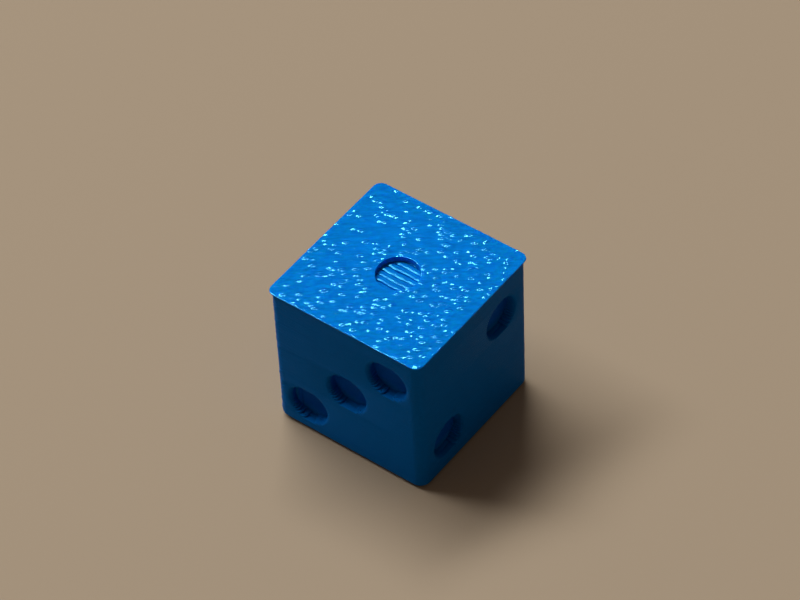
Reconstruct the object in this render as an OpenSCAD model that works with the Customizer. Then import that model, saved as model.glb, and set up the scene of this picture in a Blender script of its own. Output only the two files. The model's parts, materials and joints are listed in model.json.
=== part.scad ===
// A six-sided die laid down in plastic line by line, with the face that was printed first
// turned up. Each node is one of the bodies that the printing lays down, and neighbours meet
// face to face. The cube stands on its six, with the origin at the middle of that face.

/* [Body] */
// Length of the cube's edges, on the plain side faces
edge = 16; // [15:0.5:30]
// Radius of the four upright edges
corner_r = 1; // [0.8:0.1:2]
// How far the first printed layer spreads past the side faces
lip = 0.12; // [0.05:0.01:0.3]
// Radius of that spread layer's corners
lip_corner_r = 0.8; // [0.5:0.1:2]

/* [Pips] */
// Diameter of every round pocket
pip_d = 4; // [2:0.1:4.4]
// Depth of every pocket
pip_depth = 1; // [0.6:0.1:1.4]
// Gap between a face's edge and the nearest rims on the three, the four and the five
pip_margin = 1.5; // [1.3:0.1:2.5]
// The same gap on the two
two_margin = 2; // [1.3:0.1:3]
// The same gap at the ends of the six's two rows
six_margin = 1; // [0.9:0.05:1.2]
// How far the patterns on the side faces sit below mid-height
pip_drop = 0.25; // [0:0.05:0.3]

/* [Printed lines] */
// Width of one printed line
line_w = 0.62; // [0.4:0.01:0.7]
// Height of one layer
layer_h = 0.2; // [0.1:0.02:0.3]
// Layers in the solid skins and behind each upright pocket
skin_layers = 5; // [3:1:7]
// Gap between the free strands that span the pocket of the one
strand_gap = 0.02; // [0.01:0.01:0.1]
// How far those strands sagged towards the print bed, which makes their pocket shallower
strand_sag = 0.4; // [0:0.1:0.6]
// Side of the square that the loops leave filled in each inner corner
corner_fill = 0.6; // [0.3:0.05:0.6]
// Distance between the parallel walls of the infill
infill_pitch = 8.25; // [4:0.25:12]

/* [Hidden] */
$fn = 96;

// How far a cut runs past the surface that it opens
past = 1;
half = edge / 2;
pip_r = pip_d / 2;
wall_w = 2 * line_w;
skin_h = skin_layers * layer_h;

// Levels, from the six on the ground up to the one, which was printed first
bed_layer_z = edge - layer_h;
bed_skin_z = edge - skin_h;
strand_top_z = edge - pip_depth + strand_sag;
strand_d = line_w - strand_gap;
// A strand is pressed flat by this much above and below
strand_press = 0.02;
strand_h = strand_d - 2 * strand_press;
backing_top_z = strand_top_z - strand_h;
backing_z = backing_top_z - (skin_layers - 1) * layer_h;
six_floor_top_z = pip_depth + skin_h;

// Rings round the upright pockets
rim_r = pip_r + line_w;
second_r = rim_r + line_w;

// Distance of the corner pips from a face's middle
spread = half - pip_margin - pip_r;
two_spread = half - two_margin - pip_r;
six_pitch = half - six_margin - pip_r;

// Each side face's pips, across and up from its middle, as seen from outside
three = [for (i = [-1:1]) [i * spread, i * spread]];
two = [for (i = [-1, 1]) [i * two_spread, i * two_spread]];
four = [for (i = [-1, 1], j = [-1, 1]) [i * spread, j * spread]];
five = concat(four, [[0, 0]]);
six = [for (i = [-1:1], j = [-1, 1]) [i * six_pitch, j * spread]];

// Anticlockwise from the front: -Y, +X, +Y, -X
side_faces = [three, two, four, five];

bed_blue = [0.0, 0.42, 0.78];
wall_blue = [0.03, 0.36, 0.68];
inner_blue = [0.1, 0.46, 0.8];

// A square with rounded corners, drawn in by inset from the plain side faces
module outline(inset, r) {
    w = edge - 2 * inset;
    if (r > 0) {
        square([w - 2 * r, w], center = true);
        square([w, w - 2 * r], center = true);
        for (x = [-1, 1], y = [-1, 1])
            translate([x * (w / 2 - r), y * (w / 2 - r)]) circle(r);
    } else {
        square(w, center = true);
    }
}

module block(inset, from, to) {
    translate([0, 0, from]) linear_extrude(to - from) outline(inset, corner_r - inset);
}

// A pocket in the -Y face. The loops behind it wrap round it, so each loop's edge is the
// pocket grown sideways and inwards by whole lines, and up and down by whole layers.
module side_pocket(across, up, loops) {
    rise = loops * layer_h;
    shift = loops * line_w - rise;
    r = pip_r + rise;
    length = past + pip_depth + loops * line_w;
    translate([across, -half - past, half - pip_drop + up]) {
        for (x = loops > 0 ? [-shift, shift] : [0])
            translate([x, 0, 0]) rotate([-90, 0, 0]) cylinder(length, r, r);
        if (loops > 0) translate([-shift, 0, -r]) cube([2 * shift, length, 2 * r]);
    }
}

module side_pockets(loops) {
    for (side = [0:3]) rotate(90 * side)
        for (pip = side_faces[side]) side_pocket(pip[0], pip[1], loops);
}

module disc(r, from, to) {
    translate([0, 0, from]) cylinder(to - from, r, r);
}

module at_six_pips() {
    for (pip = six) translate([pip[0], pip[1], 0]) children();
}

module six_pockets() {
    at_six_pips() disc(pip_r, -past, pip_depth);
}

// What the wall loops leave free inside them, between two levels
module inside(from, to) {
    corner = half - wall_w - corner_fill;
    difference() {
        block(wall_w, from, to);
        side_pockets(2);
        for (side = [0:3]) rotate(90 * side)
            translate([corner, corner, from - past]) cube([half, half, to - from + 2 * past]);
    }
}

module ring(outer, inner, from, to) {
    difference() {
        disc(outer, from, to);
        disc(inner, from - past, to + past);
    }
}

// The outermost line of the first layer, spread outwards against the print bed
module bed_layer_outer_loop() {
    color(bed_blue) difference() {
        translate([0, 0, bed_layer_z]) linear_extrude(layer_h) outline(-lip, lip_corner_r);
        block(line_w, bed_layer_z - past, edge + past);
    }
}

module bed_layer_inner_loop() {
    color(bed_blue) difference() {
        block(line_w, bed_layer_z, edge);
        block(wall_w, bed_layer_z - past, edge + past);
    }
}

// The first layer's lines inside the loops, cast against the textured bed
module bed_layer_fill() {
    color(bed_blue) difference() {
        block(wall_w, bed_layer_z, edge);
        disc(second_r, bed_layer_z - past, edge + past);
    }
}

module bed_skin() {
    color(inner_blue) difference() {
        inside(bed_skin_z, bed_layer_z);
        disc(second_r, bed_skin_z - past, edge);
    }
}

module pip_one_rim_loop() {
    color(bed_blue) ring(rim_r, pip_r, strand_top_z, edge);
}

module pip_one_second_loop() {
    color(bed_blue) ring(second_r, rim_r, strand_top_z, edge);
}

// Free strands side by side, which make the floor of the one's pocket
module pip_one_strands() {
    half_count = floor((second_r - strand_d / 2) / line_w + 0.5);
    color(bed_blue) intersection() {
        disc(second_r, backing_top_z, strand_top_z);
        for (i = [-half_count:half_count - 1])
            translate([-second_r - past, (i + 0.5) * line_w, (strand_top_z + backing_top_z) / 2])
                rotate([0, 90, 0]) cylinder(2 * (second_r + past), strand_d / 2, strand_d / 2);
    }
}

module pip_one_backing() {
    color(inner_blue) disc(second_r, backing_z, backing_top_z);
}

// The outer line of every layer but the first, which dips in round each side pocket
module outer_wall() {
    color(wall_blue) difference() {
        block(0, 0, bed_layer_z);
        difference() {
            block(line_w, -past, edge);
            side_pockets(1);
        }
        side_pockets(0);
    }
}

module inner_wall() {
    color(inner_blue) difference() {
        block(line_w, 0, bed_layer_z);
        side_pockets(1);
        inside(-past, edge);
        six_pockets();
    }
}

// Crossing upright walls that fill the hollow between the skins
module infill_grid() {
    lines = floor((half - wall_w) * sqrt(2) / infill_pitch + 0.5);
    color(inner_blue) difference() {
        intersection() {
            inside(skin_h, bed_skin_z);
            for (turn = [45, -45], i = [-lines:lines - 1]) rotate(turn)
                translate([(i + 0.5) * infill_pitch - line_w / 2, -edge, 0])
                    cube([line_w, 2 * edge, edge]);
        }
        disc(second_r, backing_z, edge);
        at_six_pips() disc(rim_r, -past, six_floor_top_z);
    }
}

// Solid layers that close the bottoms of the six's pockets
module pip_six_floors() {
    color(inner_blue) intersection() {
        inside(pip_depth, six_floor_top_z);
        at_six_pips() disc(rim_r, 0, edge);
    }
}

// One line round each pocket of the six, joined where neighbours meet
module pip_six_loops() {
    color(wall_blue) difference() {
        intersection() {
            inside(0, pip_depth);
            at_six_pips() disc(rim_r, -past, edge);
        }
        six_pockets();
    }
}

module closing_skin() {
    color(inner_blue) difference() {
        inside(layer_h, skin_h);
        at_six_pips() disc(rim_r, -past, edge);
    }
}

// The last layer of parallel lines, which the die stands on here
module closing_layer() {
    color(wall_blue) difference() {
        inside(0, layer_h);
        at_six_pips() disc(rim_r, -past, edge);
    }
}

bed_layer_outer_loop();
bed_layer_inner_loop();
bed_layer_fill();
bed_skin();
pip_one_rim_loop();
pip_one_second_loop();
pip_one_strands();
pip_one_backing();
outer_wall();
inner_wall();
infill_grid();
pip_six_floors();
pip_six_loops();
closing_skin();
closing_layer();
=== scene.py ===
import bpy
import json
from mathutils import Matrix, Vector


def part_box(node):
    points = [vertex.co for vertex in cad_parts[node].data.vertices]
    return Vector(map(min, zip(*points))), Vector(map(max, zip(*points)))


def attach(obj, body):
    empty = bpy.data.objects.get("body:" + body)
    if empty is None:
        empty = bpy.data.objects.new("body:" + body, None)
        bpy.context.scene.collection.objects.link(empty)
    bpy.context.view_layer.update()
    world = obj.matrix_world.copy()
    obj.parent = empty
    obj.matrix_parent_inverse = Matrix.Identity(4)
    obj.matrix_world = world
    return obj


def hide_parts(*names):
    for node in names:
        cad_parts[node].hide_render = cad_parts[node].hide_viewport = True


bl_info = {
    "name": "Layer-printed die",
    "version": (1, 0, 0),
    "blender": (4, 5, 0),
    "location": "3D View > Sidebar > Die",
    "description": "Lays a die down line by line in blue plastic, as a filament printer does",
    "category": "Add Mesh",
}

import json
import math
import random

import bmesh
import bpy
from bpy.props import (
    FloatProperty,
    FloatVectorProperty,
    IntProperty,
    PointerProperty,
    StringProperty,
)
from bpy.types import Operator, Panel, PropertyGroup
from mathutils import Matrix, Vector, noise

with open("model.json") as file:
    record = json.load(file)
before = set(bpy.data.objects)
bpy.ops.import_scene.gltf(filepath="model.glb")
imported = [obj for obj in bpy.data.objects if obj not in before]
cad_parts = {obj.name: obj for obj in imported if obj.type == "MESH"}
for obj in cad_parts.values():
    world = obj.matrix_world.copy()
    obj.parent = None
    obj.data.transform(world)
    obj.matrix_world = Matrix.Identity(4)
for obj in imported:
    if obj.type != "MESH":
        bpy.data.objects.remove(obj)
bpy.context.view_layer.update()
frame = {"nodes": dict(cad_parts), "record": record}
MM = 0.001

# Sizes that the frame gives, so that every piece lies where its body lies
WALL_LOW, WALL_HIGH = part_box("outer_wall")
LIP_LOW, LIP_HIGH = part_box("bed_layer_outer_loop")
SECOND_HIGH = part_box("inner_wall")[1]
RIM_LOW, RIM_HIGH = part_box("pip_one_rim_loop")
STRANDS_LOW, STRANDS_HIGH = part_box("pip_one_strands")
SIX_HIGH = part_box("pip_six_loops")[1]

HALF = WALL_HIGH.x
TOP = LIP_HIGH.z
LINE_W = WALL_HIGH.x - SECOND_HIGH.x
LAYER_H = LIP_HIGH.z - LIP_LOW.z
PIP_R = RIM_HIGH.x - LINE_W
PIP_DEPTH = SIX_HIGH.z
ONE_DEPTH = RIM_HIGH.z - RIM_LOW.z


class DieSizes(PropertyGroup):
    """Sizes of the printed lines and of the marks that printing leaves."""

    corner_radius: FloatProperty(
        name="Corner radius",
        description="Radius of the upright edges",
        default=1.0 * MM,
        unit="LENGTH",
        precision=5,
    )
    lip_corner: FloatProperty(
        name="Lip corner radius",
        description="Radius of the spread first layer's corners",
        default=0.8 * MM,
        unit="LENGTH",
        precision=5,
    )
    pip_margin: FloatProperty(
        name="Pip margin",
        description="Gap between a face's edge and the rims of its corner pips",
        default=1.5 * MM,
        unit="LENGTH",
        precision=5,
    )
    two_margin: FloatProperty(
        name="Margin of the two",
        description="The same gap on the two",
        default=2.0 * MM,
        unit="LENGTH",
        precision=5,
    )
    pip_drop: FloatProperty(
        name="Pip drop",
        description="How far the side faces' patterns sit below mid-height",
        default=0.25 * MM,
        unit="LENGTH",
        precision=5,
    )
    bead_overlap: FloatProperty(
        name="Line overlap",
        description="How far a line is pressed into the layer below, as a share of its height",
        default=0.12,
        min=0.0,
        max=0.4,
    )
    bead_round: FloatProperty(
        name="Line edge radius",
        description="Radius of a line's rounded edges",
        default=0.06 * MM,
        unit="LENGTH",
        precision=6,
    )
    wobble: FloatProperty(
        name="Layer wobble",
        description="How far layers stand in or out of line",
        default=0.004 * MM,
        unit="LENGTH",
        precision=6,
    )
    foot: FloatProperty(
        name="Foot",
        description="How far the layer that the die stands on is drawn in",
        default=0.34 * MM,
        unit="LENGTH",
        precision=6,
    )
    grain: FloatProperty(
        name="Grain size",
        description="Distance between swells in the ground between the pimples",
        default=0.66 * MM,
        unit="LENGTH",
        precision=6,
    )
    grain_depth: FloatProperty(
        name="Grain depth",
        description="Height of the pimples that the bed's pits leave",
        default=0.08 * MM,
        unit="LENGTH",
        precision=6,
    )
    pimple_length: FloatProperty(
        name="Pimple length",
        description="Distance between the pimples along the window's line",
        default=1.05 * MM,
        unit="LENGTH",
        precision=6,
    )
    pimple_width: FloatProperty(
        name="Pimple width",
        description="The same distance across that line",
        default=0.52 * MM,
        unit="LENGTH",
        precision=6,
    )
    pimple_share: FloatProperty(
        name="Pimple share",
        description="Radius of a pimple, as a share of those distances",
        default=0.5,
    )
    seed: IntProperty(name="Seed", description="Seed for all that is irregular", default=7, min=0)


class DieColours(PropertyGroup):
    """Colours of the plastic and of the studio."""

    bed_face: StringProperty(
        name="Bed face",
        description="Plastic cast on the print bed",
        default="#0080E6",
    )
    strands: StringProperty(
        name="Strands",
        description="Plastic drawn free in air",
        default="#0078D4",
    )
    # A darker blue than the bed face's: partly the stacked lines' duller surface, partly painted shade on
    # the side faces, which face away from the window
    walls: StringProperty(name="Walls", description="Plastic in stacked lines", default="#0062B2")
    floor: StringProperty(name="Floor", description="The table", default="#A79680")
    fill: StringProperty(
        name="Fill light",
        description="Light thrown back by the room",
        default="#FFE4CE",
    )
    backdrop: StringProperty(
        name="Backdrop",
        description="What stands behind the table",
        default="#C9BEB0",
    )


class DieStudio(PropertyGroup):
    """Camera and light."""

    azimuth: FloatProperty(
        name="Azimuth",
        description="Turn of the camera round the die, from the three",
        default=0.676784,
        subtype="ANGLE",
    )
    elevation: FloatProperty(
        name="Elevation",
        description="Height of the camera above the floor",
        default=0.823789,
        subtype="ANGLE",
    )
    roll: FloatProperty(
        name="Roll",
        description="Turn of the camera about its own axis",
        default=-0.05198,
        subtype="ANGLE",
    )
    distance: FloatProperty(
        name="Distance",
        description="From the camera to the die's middle",
        default=0.30099,
        unit="LENGTH",
        precision=4,
    )
    lens: FloatProperty(name="Lens", description="Focal length in millimetres", default=154.74)
    aim: FloatVectorProperty(
        name="Aim",
        description="How far right of and above the die's middle the camera aims",
        size=2,
        default=(-0.112 * MM, 3.135 * MM),
        unit="LENGTH",
        precision=6,
    )
    key_direction: FloatVectorProperty(
        name="Key light from",
        description="Direction from the die to the window",
        size=3,
        default=(-0.608, 0.125, 1.0),
    )
    key_distance: FloatProperty(
        name="Window distance",
        description="From the die",
        default=2.0,
        unit="LENGTH",
    )
    key_size: FloatVectorProperty(
        name="Window size",
        description="Width and height",
        size=2,
        default=(1.84, 0.42),
        unit="LENGTH",
    )
    key_tilt: FloatProperty(
        name="Window tilt",
        description="Turn about the line to the die",
        default=-0.25,
        subtype="ANGLE",
    )
    key_power: FloatProperty(name="Window power", description="In watts", default=43.0)
    glint_direction: FloatVectorProperty(
        name="Glints from",
        description="Direction from the die to the part of the window that glints",
        size=3,
        default=(-0.583, 0.071, 1.0),
    )
    glint_size: FloatVectorProperty(
        name="Glint size",
        description="Width and height",
        size=2,
        default=(1.9, 0.22),
        unit="LENGTH",
    )
    glint_power: FloatProperty(name="Glint power", description="In watts", default=88.0)
    fill: FloatProperty(name="Fill", description="Strength of the light from all round", default=0.12)


# ---------------------------------------------------------------------------------------------
# Helpers
# ---------------------------------------------------------------------------------------------

# Edges that turn by more than this stay sharp
SHARP_ANGLE = math.radians(40)


def linear(hex_colour):
    """An sRGB hex value as linear red, green, blue and alpha."""
    channels = [int(hex_colour[i : i + 2], 16) / 255 for i in (1, 3, 5)]
    return [c / 12.92 if c <= 0.04045 else ((c + 0.055) / 1.055) ** 2.4 for c in channels] + [1.0]


def add(tree, kind, settings=None, **links):
    """Adds a node with its settings. A link is given as input_name=value or input_name=output socket."""
    node = tree.nodes.new(kind)
    for name, value in (settings or {}).items():
        setattr(node, name, value)
    for name, value in links.items():
        socket = node.inputs[int(name[1:])] if name[1:].isdigit() else node.inputs[name.replace("_", " ")]
        if isinstance(value, bpy.types.NodeSocket):
            tree.links.new(value, socket)
        else:
            socket.default_value = value
    return node


def new_object(name, mesh):
    """Links a mesh to the scene as an object at the origin."""
    obj = bpy.data.objects.new(name, mesh)
    bpy.context.scene.collection.objects.link(obj)
    return obj


def place(obj, material, slot, *nodes):
    """Gives a finished piece its material, body and finish, and hides the bodies that it stands for."""
    obj.data.materials.clear()
    obj.data.materials.append(material)
    obj.data.shade_smooth()
    obj.data.set_sharp_from_angle(angle=SHARP_ANGLE)
    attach(obj, "root")
    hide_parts(*nodes)


def rotated(point, quarter_turns):
    """A point turned about the origin by quarter turns, anticlockwise."""
    x, y = point
    for _ in range(quarter_turns % 4):
        x, y = -y, x
    return x, y


# ---------------------------------------------------------------------------------------------
# Materials
# ---------------------------------------------------------------------------------------------

PLA_IOR = 1.46
# Light that enters PLA comes out a little way off, the blue furthest
GLOW = {"Subsurface_Weight": 0.5, "Subsurface_Radius": (0.1, 0.4, 1.0)}
# Noise seldom leaves this range, so a tint runs from one end to the other within it
NOISE_LOW = 0.3
NOISE_HIGH = 0.7
# Painted shade in the pockets: what is left of the plastic's red, green and blue where that shade is full
POCKET_SHADE_TINT = (0.4, 0.66, 1.0, 1.0)


def material_base(name):
    """A material without nodes, and its tree."""
    material = bpy.data.materials.new(name)
    material.use_nodes = True
    tree = material.node_tree
    tree.nodes.clear()
    return material, tree


def scaled_coordinates(tree, *sizes):
    """Object coordinates in which a pattern's own size along each axis is the unit."""
    coordinates = add(tree, "ShaderNodeTexCoord").outputs["Object"]
    per_metre = [1 / size for size in sizes]
    return add(tree, "ShaderNodeMapping", Vector=coordinates, Scale=per_metre).outputs[0]


def plastic(tree, colour, height, bump, distance, **values):
    """PLA, a dielectric. The filament is dyed through, so its colour hardly varies."""
    bumped = add(tree, "ShaderNodeBump", Strength=bump, Distance=distance, Height=height)
    shader = add(
        tree,
        "ShaderNodeBsdfPrincipled",
        Base_Color=colour,
        IOR=PLA_IOR,
        Normal=bumped.outputs[0],
        **values,
    )
    add(tree, "ShaderNodeOutputMaterial", Surface=shader.outputs[0])


def tinted(tree, hex_colour, factor, spread):
    """The plastic's colour, a little darker and lighter from place to place. On the bed face, this
    variation is painted sheen.
    """
    base = linear(hex_colour)
    ramp = add(tree, "ShaderNodeValToRGB", Fac=factor)
    darker, lighter = ramp.color_ramp.elements
    darker.color = [c * (1 - spread) for c in base[:3]] + [1.0]
    lighter.color = [min(1.0, c * (1 + spread)) for c in base[:3]] + [1.0]
    darker.position = NOISE_LOW
    lighter.position = NOISE_HIGH
    return ramp.outputs[0]


def recessed(tree, colour):
    """Painted shade: deepens the colour where a line dips in round a pocket, as far as its path's points
    say.
    """
    share = add(tree, "ShaderNodeAttribute", {"attribute_name": "pocket_shade"}).outputs["Fac"]
    mix = add(
        tree,
        "ShaderNodeMix",
        {"data_type": "RGBA", "blend_type": "MULTIPLY"},
        i0=share,
        i6=colour,
        i7=POCKET_SHADE_TINT,
    )
    return mix.outputs[2]


def stretched(tree, length, width):
    """Object coordinates for a pattern that is stretched along the line the window stands on, which
    carries the bed face's painted sheen.
    """
    return add(
        tree,
        "ShaderNodeMapping",
        {"vector_type": "TEXTURE"},
        Vector=add(tree, "ShaderNodeTexCoord").outputs["Object"],
        Rotation=(0.0, 0.0, bpy.context.scene.die_studio.azimuth),
        Scale=(length, width, width),
    ).outputs[0]


def bed_cast_pla(colours):
    """PLA frozen against a powder-coated bed: a gloss skin with small sharp pimples, so it glitters, with
    painted sheen in bands along the window's line.
    """
    material, tree = material_base("bed_cast_pla")
    # Painted sheen: bands of lighter and darker blue along the window's line
    painted_sheen = add(
        tree,
        "ShaderNodeTexNoise",
        Vector=stretched(tree, length=1.3 * MM, width=0.3 * MM),
        Scale=1.0,
        Detail=2.0,
    )
    fine = add(
        tree,
        "ShaderNodeTexNoise",
        Vector=scaled_coordinates(tree, 0.3 * MM, 0.3 * MM, 0.3 * MM),
        Scale=1.0,
        Detail=1.0,
    )
    plastic(
        tree,
        tinted(tree, colours.bed_face, painted_sheen.outputs["Fac"], spread=0.16),
        fine.outputs["Fac"],
        bump=0.1,
        distance=0.02 * MM,
        Roughness=0.1,
        Specular_Tint=(0.07, 0.75, 1.0, 1.0),
        Subsurface_Scale=0.6 * MM,
        **GLOW,
    )
    return material


def drawn_pla(colours):
    """PLA strands that froze in air: the smoothest and glossiest surface of the print."""
    material, tree = material_base("drawn_pla")
    along = add(
        tree,
        "ShaderNodeTexNoise",
        Vector=scaled_coordinates(tree, 1.2 * MM, 0.4 * MM, 0.4 * MM),
        Scale=1.0,
        Detail=2.0,
    )
    plastic(
        tree,
        tinted(tree, colours.strands, along.outputs["Fac"], spread=0.12),
        along.outputs["Fac"],
        bump=0.5,
        distance=0.08 * MM,
        Roughness=0.15,
        Specular_IOR_Level=0.22,
        Specular_Tint=(0.03, 0.75, 1.0, 1.0),
        Subsurface_Scale=0.4 * MM,
        **GLOW,
    )
    return material


def layered_pla(colours):
    """PLA in stacked lines, smeared by the nozzle: satin along the lines, with faint drag marks and
    painted shade in the pockets.
    """
    material, tree = material_base("layered_pla")
    drag = add(
        tree,
        "ShaderNodeTexNoise",
        Vector=scaled_coordinates(tree, 1.4 * MM, 1.4 * MM, 0.12 * MM),
        Scale=1.0,
        Detail=3.0,
    )
    plastic(
        tree,
        # The walls' colour, with painted shade in the pockets
        recessed(tree, tinted(tree, colours.walls, drag.outputs["Fac"], spread=0.04)),
        drag.outputs["Fac"],
        bump=0.3,
        distance=0.01 * MM,
        Roughness=0.4,
        Specular_IOR_Level=0.03,
        Specular_Tint=(0.03, 0.5, 1.0, 1.0),
    )
    return material


MAKERS = {"bed_face": bed_cast_pla, "strands": drawn_pla, "walls": layered_pla}


def material_for(slot):
    """The finish of one of the record's material slots, made once."""
    maker = MAKERS.get(slot, layered_pla)
    return bpy.data.materials.get(maker.__name__) or maker(bpy.context.scene.die_colours)


# ---------------------------------------------------------------------------------------------
# Layer loops
# ---------------------------------------------------------------------------------------------

# Steps in an arc for each millimetre of its radius, and the fewest in any arc
ARC_STEPS = 8
FEWEST_STEPS = 3
# Radius of the turns that a line makes where it dips in, and the shortest half chord it dips for
TURN_RADIUS = 0.07 * MM
SHORTEST_REACH = 0.3 * MM
# A pocket's painted shade is full from LEDGE_TOP up, and there is none below LEDGE_LOW, in radii from its
# middle
LEDGE_LOW = -0.9
LEDGE_TOP = -0.5
# Length of line over which the painted shade in a pocket fades
POCKET_SHADE_FADE = 0.25 * MM
# The foot draws in this many layers, the second of them by a third as far as the first
FOOT_LAYERS = 2
# A line's width varies by this share. It swells at the seam, where a layer's line begins and ends.
WIDTH_SPREAD = 0.004
SEAM_WIDTH = 1.06
SEAM_SPREAD = 0.1
AFTER_SEAM = 0.97
# The points between which the seam wanders from layer to layer
SEAM_FIRST = 2
SEAM_LAST = 5
# Points on each rounded edge of a line's cross-section
BEAD_EDGE_POINTS = 2


def side_pips(sizes):
    """Middles of the pips on the four side faces, from the three anticlockwise, as seen from outside."""
    spread = HALF - sizes.pip_margin - PIP_R
    two_spread = HALF - sizes.two_margin - PIP_R
    four = [(i * spread, j * spread) for i in (-1, 1) for j in (-1, 1)]
    return [
        [(i * spread, i * spread) for i in (-1, 0, 1)],
        [(i * two_spread, i * two_spread) for i in (-1, 1)],
        four,
        four + [(0.0, 0.0)],
    ]


def filleted(corners):
    """A closed outline of right-angled corners (x, y, radius, painted shade), each drawn as an arc, and
    the painted shade at each of its points."""
    points, pocket_shades = [], []
    for i, (x, y, radius, pocket_shade) in enumerate(corners):
        corner = Vector((x, y))
        before = (corner - Vector(corners[i - 1][:2])).normalized()
        after = (Vector(corners[(i + 1) % len(corners)][:2]) - corner).normalized()
        middle = corner + radius * (after - before)
        count = max(FEWEST_STEPS, round(ARC_STEPS * radius / MM))
        for k in range(count + 1):
            angle = math.pi / 2 * k / count
            points.append(middle + radius * (before * math.sin(angle) - after * math.cos(angle)))
            pocket_shades.append(pocket_shade)
    return points, pocket_shades


def loop_corners(z, inset, sizes, shift):
    """Corners of the line that a layer at height z lays at a distance inside the surface. It dips in round
    every pip that the layer crosses, and there it carries painted shade, except on a pip's lowest layers,
    which catch light."""
    wall = HALF - inset + shift
    radius = max(sizes.corner_radius - inset, TURN_RADIUS)
    middle = HALF - sizes.pip_drop
    corners = []
    for side, pips in enumerate(side_pips(sizes)):
        local = [(-wall, -wall, radius, 0.0)]
        for across, up in sorted(pips):
            chord = PIP_R**2 - (z - middle - up) ** 2
            if chord <= SHORTEST_REACH**2:
                continue
            reach = math.sqrt(chord) + inset
            limit = wall - radius - 2 * TURN_RADIUS
            left = max(across - reach, -limit)
            right = min(across + reach, limit)
            floor = -(HALF - PIP_DEPTH - inset)
            height = (z - middle - up) / PIP_R
            # Painted shade in the pocket: none on its lowest layers, full from LEDGE_TOP up
            pocket_shade = min(1.0, max(0.0, (height - LEDGE_LOW) / (LEDGE_TOP - LEDGE_LOW)))
            local += [
                (left, -wall, TURN_RADIUS, 0.0),
                (left, POCKET_SHADE_FADE - wall, TURN_RADIUS, pocket_shade),
                (left, floor, TURN_RADIUS, pocket_shade),
                (right, floor, TURN_RADIUS, pocket_shade),
                (right, floor - POCKET_SHADE_FADE, TURN_RADIUS, 0.0),
                (right, -wall, TURN_RADIUS, 0.0),
            ]
        corners += [(*rotated(point[:2], side), *point[2:]) for point in local]
    return corners


def loop_carrier(name, inset, sizes, seam):
    """Every layer's line as loose edges, with its width and its painted pocket shade at each point as
    attributes.
    """
    # Each wall has draws of its own
    rng = random.Random(sizes.seed + round(inset / MM * 100))
    layers = round((WALL_HIGH.z - WALL_LOW.z) / LAYER_H)
    vertices, edges, widths, all_pocket_shades = [], [], [], []
    for layer in range(layers):
        z = WALL_LOW.z + (layer + 0.5) * LAYER_H
        shift = rng.uniform(-1, 1) * sizes.wobble
        if layer < FOOT_LAYERS:
            shift -= sizes.foot / (1 + 2 * layer)
        points, pocket_shades = filleted(loop_corners(z, inset, sizes, shift))
        first = len(vertices)
        vertices += [(p.x, p.y, z) for p in points]
        edges += [(first + i, first + (i + 1) % len(points)) for i in range(len(points))]
        width = [1.0 + rng.uniform(-WIDTH_SPREAD, WIDTH_SPREAD) for _ in points]
        if seam:
            start = rng.randrange(SEAM_FIRST, SEAM_LAST + 1)
            width[start] = SEAM_WIDTH + rng.uniform(0.0, SEAM_SPREAD)
            width[start + 1] = AFTER_SEAM
        widths += width
        all_pocket_shades += pocket_shades
    mesh = bpy.data.meshes.new(name)
    mesh.from_pydata(vertices, edges, [])
    # The second attribute is the painted pocket shade that the walls' material reads
    for label, values in (("line_width", widths), ("pocket_shade", all_pocket_shades)):
        mesh.attributes.new(label, "FLOAT", "POINT").data.foreach_set("value", values)
    return new_object(name, mesh)


def new_tree(name, inputs):
    """A Geometry Nodes tree with a geometry socket each way and named inputs."""
    tree = bpy.data.node_groups.new(name, "GeometryNodeTree")
    tree.interface.new_socket("Geometry", in_out="INPUT", socket_type="NodeSocketGeometry")
    for label, kind in inputs:
        tree.interface.new_socket(label, in_out="INPUT", socket_type=kind)
    tree.interface.new_socket("Geometry", in_out="OUTPUT", socket_type="NodeSocketGeometry")
    return tree, tree.nodes.new("NodeGroupInput").outputs


def lines_tree():
    """Lays a pressed line of plastic along every path that it is given."""
    tree, given = new_tree(
        "printed_lines",
        [
            ("Width", "NodeSocketFloat"),
            ("Height", "NodeSocketFloat"),
            ("Edge radius", "NodeSocketFloat"),
            ("Material", "NodeSocketMaterial"),
        ],
    )
    path = add(tree, "GeometryNodeMeshToCurve", Mesh=given["Geometry"])
    upright = add(tree, "GeometryNodeSetCurveNormal", {"mode": "Z_UP"}, Curve=path.outputs[0])
    outline = add(
        tree, "GeometryNodeCurvePrimitiveQuadrilateral", Width=given["Width"], Height=given["Height"]
    )
    rounded = add(
        tree,
        "GeometryNodeFilletCurve",
        {"mode": "POLY"},
        Curve=outline.outputs[0],
        Count=BEAD_EDGE_POINTS,
        Radius=given["Edge radius"],
    )
    width = add(tree, "GeometryNodeInputNamedAttribute", {"data_type": "FLOAT"}, Name="line_width")
    swept = add(
        tree,
        "GeometryNodeCurveToMesh",
        Curve=upright.outputs[0],
        Profile_Curve=rounded.outputs[0],
        Scale=width.outputs[0],
        Fill_Caps=True,
    )
    realized = add(tree, "GeometryNodeRealizeInstances", Geometry=swept.outputs[0])
    painted = add(
        tree, "GeometryNodeSetMaterial", Geometry=realized.outputs[0], Material=given["Material"]
    )
    add(tree, "NodeGroupOutput", Geometry=painted.outputs[0])
    return tree


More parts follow.
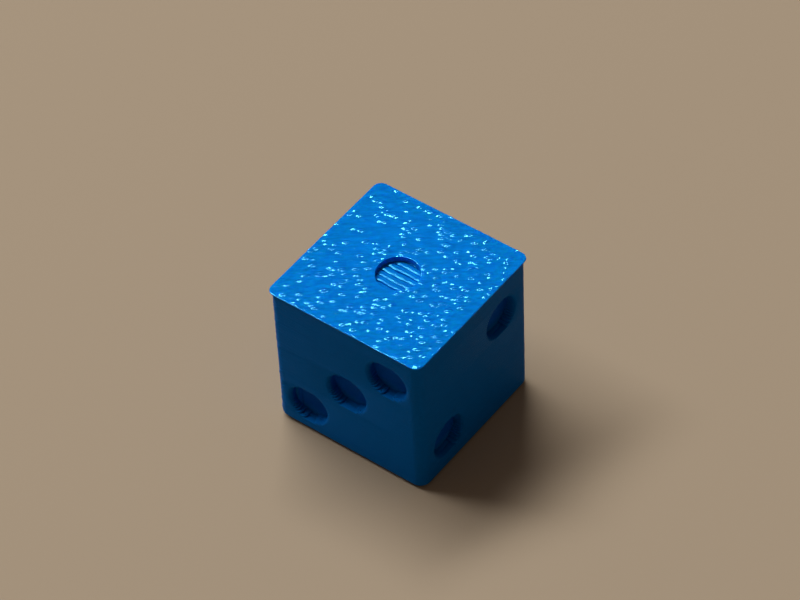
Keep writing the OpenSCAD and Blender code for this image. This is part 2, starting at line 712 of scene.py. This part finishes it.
def baked(carrier, tree, values, name):
    """Runs a tree on a carrier and keeps only the plain mesh that it makes."""
    modifier = carrier.modifiers.new(tree.name, "NODES")
    modifier.node_group = tree
    for item in tree.interface.items_tree:
        if item.item_type == "SOCKET" and item.in_out == "INPUT" and item.name in values:
            modifier[item.identifier] = values[item.name]
    evaluated = carrier.evaluated_get(bpy.context.evaluated_depsgraph_get())
    mesh = bpy.data.meshes.new_from_object(evaluated)
    mesh.name = name
    carrier.modifiers.remove(modifier)
    old = carrier.data
    bpy.data.objects.remove(carrier)
    bpy.data.meshes.remove(old)
    if not mesh.polygons:
        raise RuntimeError(f"{name} came out empty")
    width = mesh.attributes.get("line_width")
    if width:
        mesh.attributes.remove(width)
    return new_object(name, mesh)


def lay_lines(name, carrier, material, height, edge_radius):
    """The carrier's edges as lines of plastic, with outward faces."""
    tree = bpy.data.node_groups.get("printed_lines") or lines_tree()
    values = {"Width": LINE_W, "Height": height, "Edge radius": edge_radius, "Material": material}
    obj = baked(carrier, tree, values, name)
    recalculate(obj.data)
    return obj


def recalculate(mesh):
    """Turns every face outwards."""
    shape = bmesh.new()
    shape.from_mesh(mesh)
    bmesh.ops.recalc_face_normals(shape, faces=shape.faces)
    shape.to_mesh(mesh)
    shape.free()


# ---------------------------------------------------------------------------------------------
# The bed face
# ---------------------------------------------------------------------------------------------

# Points along each side of the face and round each of its corners
SIDE_STEPS = 184
CORNER_STEPS = 8
ROUND_STEPS = 4 * (SIDE_STEPS + CORNER_STEPS)
# Rows of points across the fill, the face's outer and inner line, and each line round the pip
FILL_ROWS = 76
OUTER_ROWS = 7
INNER_ROWS = 6
PIP_LINE_ROWS = 10
SHARPEST_CORNER = 0.05 * MM
# How much the ground between the pimples swells, as a share of their height, and where its noise starts
GROUND_SHARE = 0.3
GROUND_START = (3.1, 7.7)
# The lip's rounded upper edge, and the gap between it and the last row on top
LIP_EDGE_RADIUS = 0.09 * MM
LIP_EDGE_STEPS = 5
LIP_EDGE_GAP = 0.03 * MM
# How the lip curls in below that edge, as pairs of distances inwards and down
LIP_UNDERSIDE = ((0.015 * MM, 0.14 * MM), (0.05 * MM, 0.18 * MM))
# How far the lip's root is pressed into the layer below
LIP_PRESS = 0.02 * MM
# Rounding of the layers' edges in the pocket of the one, and the depth of the grooves between them
PIP_EDGE = 0.04 * MM
PIP_GROOVE = 0.03 * MM


def square_outline(inset, sizes):
    """Points round a square with rounded corners, the same number on each for every inset."""
    lip = min(0.0, inset) / (LIP_HIGH.x - HALF)
    radius = max(sizes.corner_radius - max(0.0, inset), SHARPEST_CORNER)
    radius += lip * (sizes.corner_radius - sizes.lip_corner)
    middle = HALF - inset - radius
    points = []
    for side in range(4):
        for i in range(SIDE_STEPS):
            points.append(rotated((-middle + 2 * middle * i / SIDE_STEPS, -middle - radius), side))
        for i in range(CORNER_STEPS):
            angle = math.pi / 2 * (i / CORNER_STEPS - 1)
            corner = (middle + radius * math.cos(angle), -middle + radius * math.sin(angle))
            points.append(rotated(corner, side))
    return points


def circle_outline(radius):
    """Points round a circle, in step with the points round the square."""
    points = []
    for i in range(ROUND_STEPS):
        turn = (i - SIDE_STEPS / 2) / ROUND_STEPS
        angle = 2 * math.pi * turn - math.pi / 2
        points.append((radius * math.cos(angle), radius * math.sin(angle)))
    return points


def grain_height(x, y, sizes):
    """Height of the cast grain at a place, about -0.5 to 1: pimples on gently uneven ground."""
    turn = bpy.context.scene.die_studio.azimuth
    along = x * math.cos(turn) + y * math.sin(turn)
    across = y * math.cos(turn) - x * math.sin(turn)
    place = Vector((along / sizes.pimple_length, across / sizes.pimple_width, sizes.seed))
    nearness = max(0.0, 1.0 - noise.voronoi(place)[0][0] / sizes.pimple_share)
    pimple = nearness * nearness * (3.0 - 2.0 * nearness)
    ground = noise.noise(Vector((x, y, 0.0)) / sizes.grain + Vector((*GROUND_START, sizes.seed)))
    return pimple + GROUND_SHARE * ground - GROUND_SHARE


def lathe(name, rings, sizes):
    """A closed body from rings (outline, height, share of the grain), each joined to the next and the
    last to the first."""
    vertices, faces = [], []
    count = ROUND_STEPS
    for outline, z, grain_share in rings:
        for x, y in outline:
            lift = 0.0
            if grain_share:
                lift = grain_height(x, y, sizes) * sizes.grain_depth * grain_share
            vertices.append((x, y, z + lift))
    for j in range(len(rings)):
        k = (j + 1) % len(rings)
        for i in range(count):
            n = (i + 1) % count
            faces.append((j * count + i, j * count + n, k * count + n, k * count + i))
    mesh = bpy.data.meshes.new(name)
    mesh.from_pydata(vertices, [], faces)
    recalculate(mesh)
    return new_object(name, mesh)


def between(low, high, steps):
    """Evenly spaced values from low to high, with both ends."""
    return [low + (high - low) * i / steps for i in range(steps + 1)]


def lip_profile():
    """The spread edge of the first layer, as (inset, height, grain share) from the top round to below."""
    lip = HALF - LIP_HIGH.x
    rows = []
    for i in range(1, LIP_EDGE_STEPS + 1):
        angle = math.pi / 2 * i / LIP_EDGE_STEPS
        inset = lip + LIP_EDGE_RADIUS * (1 - math.sin(angle))
        height = TOP - LIP_EDGE_RADIUS * (1 - math.cos(angle))
        rows.append((inset, height, 1 - i / (LIP_EDGE_STEPS + 1)))
    rows += [(lip + inwards, TOP - down, 0) for inwards, down in LIP_UNDERSIDE]
    rows.append((0.0, TOP - LAYER_H - LIP_PRESS, 0))
    return rows


# ---------------------------------------------------------------------------------------------
# Free strands
# ---------------------------------------------------------------------------------------------

# Added to the seed, so that the strands' draws differ from the walls'
STRAND_SEED = 31
STRAND_STEPS = 28
# How far a strand lies above and beside its place in the middle of its span, in millimetres
SAG_RANGE = (-0.03, 0.05)
DRIFT_RANGE = (-0.03, 0.03)
# Height of its sideways waves, and how many radians of them there are to a pip's radius
WAVE = 0.02 * MM
WAVE_TURN = 5
# Its width against a line's, how much that varies, and the rounding of its edges, against its height
STRAND_WIDTH = 1.04
STRAND_SPREAD = 0.03
STRAND_ROUNDING = 0.32


# ---------------------------------------------------------------------------------------------
# Operators
# ---------------------------------------------------------------------------------------------


class DIE_OT_side_walls(Operator):
    """Lay the outer and the inner line of every layer, with the marks where a layer starts"""

    bl_idname = "die.side_walls"
    bl_label = "Side walls"

    def execute(self, context):
        sizes = context.scene.die_sizes
        height = LAYER_H * (1 + sizes.bead_overlap)
        for name, lines, node, slot in (
            ("outer_wall_lines", 0.5, "outer_wall", "walls"),
            ("inner_wall_lines", 1.5, "inner_wall", "inside"),
        ):
            material = material_for(slot)
            carrier = loop_carrier(name + "_path", lines * LINE_W, sizes, lines < 1)
            wall = lay_lines(name, carrier, material, height, sizes.bead_round)
            place(wall, material, slot, node)
        return {"FINISHED"}


class DIE_OT_bed_face(Operator):
    """Cast the face of the one against the textured print bed"""

    bl_idname = "die.bed_face"
    bl_label = "Bed face"

    def execute(self, context):
        sizes = context.scene.die_sizes
        material = material_for("bed_face")
        low = TOP - LAYER_H
        lip = lip_profile()
        outer_insets = between(LINE_W, lip[0][0] + LIP_EDGE_GAP, OUTER_ROWS)
        inner_insets = between(2 * LINE_W, LINE_W, INNER_ROWS)
        outer = [(square_outline(inset, sizes), TOP, 1.0) for inset in outer_insets]
        outer += [(square_outline(inset, sizes), z, share) for inset, z, share in lip]
        outer += [(square_outline(LINE_W, sizes), lip[-1][1], 0)]
        inner = [(square_outline(inset, sizes), TOP, 1.0) for inset in inner_insets]
        inner += [(square_outline(inset, sizes), low, 0) for inset in (LINE_W, 2 * LINE_W)]
        pieces = [
            ("bed_face_outer_loop", outer, "bed_layer_outer_loop"),
            ("bed_face_inner_loop", inner, "bed_layer_inner_loop"),
            ("bed_face_fill", self.fill(sizes, low), "bed_layer_fill"),
            ("pip_one_rim", self.pip_ring(PIP_R), "pip_one_rim_loop"),
            ("pip_one_second_line", self.pip_ring(PIP_R + LINE_W), "pip_one_second_loop"),
        ]
        for name, rings, node in pieces:
            place(lathe(name, rings, sizes), material, "bed_face", node)
        return {"FINISHED"}

    def fill(self, sizes, low):
        """The fill between the pip's lines and the inner loop."""
        hole = circle_outline(PIP_R + 2 * LINE_W)
        border = square_outline(2 * LINE_W, sizes)
        rings = []
        for row in range(FILL_ROWS + 1):
            share = row / FILL_ROWS
            outline = [
                (inner[0] + (outer[0] - inner[0]) * share, inner[1] + (outer[1] - inner[1]) * share)
                for inner, outer in zip(hole, border)
            ]
            rings.append((outline, TOP, 1.0))
        return rings + [(border, low, 0), (hole, low, 0)]

    def pip_ring(self, radius):
        """A line round the pocket of the one. The innermost has a rounded rim and layer marks."""
        floor = RIM_LOW.z
        across = between(radius, radius + LINE_W, PIP_LINE_ROWS)
        rings = [(circle_outline(r), TOP, 1.0) for r in across]
        rings += [(circle_outline(radius + LINE_W), floor, 0)]
        rings += [(circle_outline(radius), floor, 0)]
        if radius == PIP_R:
            rings[0] = (circle_outline(radius + PIP_EDGE), TOP, 1.0)
            layers = round(ONE_DEPTH / LAYER_H)
            for layer in range(layers):
                bottom = floor + layer * LAYER_H
                rings.append((circle_outline(radius), bottom + PIP_EDGE, 0))
                rings.append((circle_outline(radius), bottom + LAYER_H - PIP_EDGE, 0))
                if layer < layers - 1:
                    rings.append((circle_outline(radius + PIP_GROOVE), bottom + LAYER_H, 0))
        return rings


class DIE_OT_strands(Operator):
    """Draw the free strands across the pocket of the one"""

    bl_idname = "die.strands"
    bl_label = "Strands"

    def execute(self, context):
        sizes = context.scene.die_sizes
        rng = random.Random(sizes.seed + STRAND_SEED)
        material = material_for("strands")
        radius = PIP_R + 2 * LINE_W
        half_count = int((radius - LINE_W / 2) / LINE_W + 0.5)
        vertices, edges, widths = [], [], []
        for strand in range(-half_count, half_count):
            y = (strand + 0.5) * LINE_W
            half = math.sqrt(radius**2 - y**2)
            sag = rng.uniform(*SAG_RANGE) * MM
            drift = rng.uniform(*DRIFT_RANGE) * MM
            start = len(vertices)
            for i in range(STRAND_STEPS + 1):
                x = -half + 2 * half * i / STRAND_STEPS
                span = max(0.0, 1 - (x / PIP_R) ** 2) if abs(y) < PIP_R else 0.0
                side = drift * span + WAVE * span * math.sin(WAVE_TURN * x / PIP_R + strand)
                vertices.append((x, y + side, (STRANDS_LOW.z + STRANDS_HIGH.z) / 2 + sag * span))
                widths.append(STRAND_WIDTH + rng.uniform(-STRAND_SPREAD, STRAND_SPREAD))
            edges += [(start + i, start + i + 1) for i in range(STRAND_STEPS)]
        mesh = bpy.data.meshes.new("strand_path")
        mesh.from_pydata(vertices, edges, [])
        mesh.attributes.new("line_width", "FLOAT", "POINT").data.foreach_set("value", widths)
        carrier = new_object("strand_path", mesh)
        height = STRANDS_HIGH.z - STRANDS_LOW.z
        strands = lay_lines(
            "pip_one_strand_lines", carrier, material, height, STRAND_ROUNDING * height
        )
        place(strands, material, "strands", "pip_one_strands")
        return {"FINISHED"}


class DIE_OT_finishes(Operator):
    """Give every body that keeps its own shape its plastic finish"""

    bl_idname = "die.finishes"
    bl_label = "Finishes"

    def execute(self, context):
        slots = {part["node"]: part["material_slot"] for part in frame["record"]["subparts"]}
        for name, obj in frame["nodes"].items():
            if obj.hide_render:
                continue
            obj.data.materials.clear()
            obj.data.materials.append(material_for(slots[name]))
        return {"FINISHED"}


class DIE_OT_stage(Operator):
    """Set up the table, the window light and the camera"""

    bl_idname = "die.stage"
    bl_label = "Stage"

    def execute(self, context):
        self.floor(context)
        self.world(context)
        self.window(context)
        self.camera(context)
        context.scene.view_settings.view_transform = "Standard"
        return {"FINISHED"}

    def floor(self, context):
        """A plain matt table, which reaches well past the picture."""
        reach = 1.5
        corners = [(-reach, -reach, 0), (reach, -reach, 0), (reach, reach, 0), (-reach, reach, 0)]
        mesh = bpy.data.meshes.new("table")
        mesh.from_pydata(corners, [], [(0, 1, 2, 3)])
        table = new_object("table", mesh)
        material, tree = material_base("matt_table")
        shader = add(
            tree,
            "ShaderNodeBsdfPrincipled",
            Base_Color=linear(context.scene.die_colours.floor),
            Roughness=0.8,
            Specular_IOR_Level=0.08,
        )
        add(tree, "ShaderNodeOutputMaterial", Surface=shader.outputs[0])
        mesh.materials.append(material)

    def world(self, context):
        """A weak light from all round, in front of a pale backdrop."""
        world = bpy.data.worlds.new("studio")
        world.use_nodes = True
        context.scene.world = world
        tree = world.node_tree
        tree.nodes.clear()
        colours = context.scene.die_colours
        strength = context.scene.die_studio.fill
        path = add(tree, "ShaderNodeLightPath")
        light = add(tree, "ShaderNodeBackground", Color=linear(colours.fill), Strength=strength)
        seen = add(tree, "ShaderNodeBackground", Color=linear(colours.backdrop), Strength=1.0)
        mix = add(
            tree,
            "ShaderNodeMixShader",
            i0=path.outputs["Is Camera Ray"],
            i1=light.outputs[0],
            i2=seen.outputs[0],
        )
        add(tree, "ShaderNodeOutputWorld", Surface=mix.outputs[0])

    def window(self, context):
        """A wide window, which lights and throws the shadow, and its bright middle, which glints."""
        studio = context.scene.die_studio
        key = self.panel(context, "window", studio.key_direction, studio.key_size, studio.key_tilt)
        key.data.energy = studio.key_power
        key.visible_glossy = False
        glint = self.panel(context, "glint", studio.glint_direction, studio.glint_size, None)
        glint.data.energy = studio.glint_power
        glint.visible_diffuse = False

    def panel(self, context, name, direction, size, tilt):
        """An area light that faces the die, level with the camera where no tilt is given."""
        studio = context.scene.die_studio
        direction = Vector(direction).normalized()
        if tilt is None:
            level = Vector((math.cos(studio.azimuth), math.sin(studio.azimuth), 0.0))
            across = (level - level.dot(direction) * direction).normalized()
        else:
            level = Vector((-direction.y, direction.x, 0.0)).normalized()
            across = math.cos(tilt) * level + math.sin(tilt) * direction.cross(level)
        light = bpy.data.lights.new(name, "AREA")
        light.shape = "RECTANGLE"
        light.size, light.size_y = size
        panel = bpy.data.objects.new(name, light)
        context.scene.collection.objects.link(panel)
        turn = Matrix((across, direction.cross(across), direction)).transposed()
        spot = Vector((0, 0, HALF)) + direction * studio.key_distance
        panel.matrix_world = Matrix.Translation(spot) @ turn.to_4x4()
        return panel

    def camera(self, context):
        """A long lens that looks down at the corner between the three and the two."""
        studio = context.scene.die_studio
        flat = math.cos(studio.elevation)
        back = Vector(
            (math.sin(studio.azimuth) * flat, -math.cos(studio.azimuth) * flat, math.sin(studio.elevation))
        )
        level = Vector((0, 0, 1)).cross(back).normalized()
        raised = back.cross(level)
        right = math.cos(studio.roll) * level + math.sin(studio.roll) * raised
        up = back.cross(right)
        middle = Vector((0, 0, TOP / 2))
        spot = middle + studio.aim[0] * right + studio.aim[1] * up + studio.distance * back
        lens = bpy.data.cameras.new("camera")
        lens.lens = studio.lens
        lens.clip_start, lens.clip_end = 0.01, 10.0
        camera = bpy.data.objects.new("camera", lens)
        context.scene.collection.objects.link(camera)
        camera.matrix_world = Matrix.Translation(spot) @ Matrix((right, up, back)).transposed().to_4x4()
        context.scene.camera = camera


STEPS = (DIE_OT_stage, DIE_OT_side_walls, DIE_OT_bed_face, DIE_OT_strands, DIE_OT_finishes)


class DIE_PT_panel(Panel):
    """Builds the die step by step"""

    bl_idname = "DIE_PT_panel"
    bl_label = "Layer-printed die"
    bl_space_type = "VIEW_3D"
    bl_region_type = "UI"
    bl_category = "Die"

    def draw(self, context):
        for group in ("die_sizes", "die_colours", "die_studio"):
            values = getattr(context.scene, group)
            for name in values.__annotations__:
                self.layout.prop(values, name)
        for step in STEPS:
            self.layout.operator(step.bl_idname)


GROUPS = {"die_sizes": DieSizes, "die_colours": DieColours, "die_studio": DieStudio}


def register():
    for group in GROUPS.values():
        bpy.utils.register_class(group)
    for name, group in GROUPS.items():
        setattr(bpy.types.Scene, name, PointerProperty(type=group))
    for step in (*STEPS, DIE_PT_panel):
        bpy.utils.register_class(step)


def unregister():
    for step in (DIE_PT_panel, *reversed(STEPS)):
        bpy.utils.unregister_class(step)
    for name, group in GROUPS.items():
        delattr(bpy.types.Scene, name)
        bpy.utils.unregister_class(group)


def main():
    register()
    bpy.ops.die.stage()
    bpy.ops.die.side_walls()
    bpy.ops.die.bed_face()
    bpy.ops.die.strands()
    bpy.ops.die.finishes()


if __name__ == "__main__":
    main()
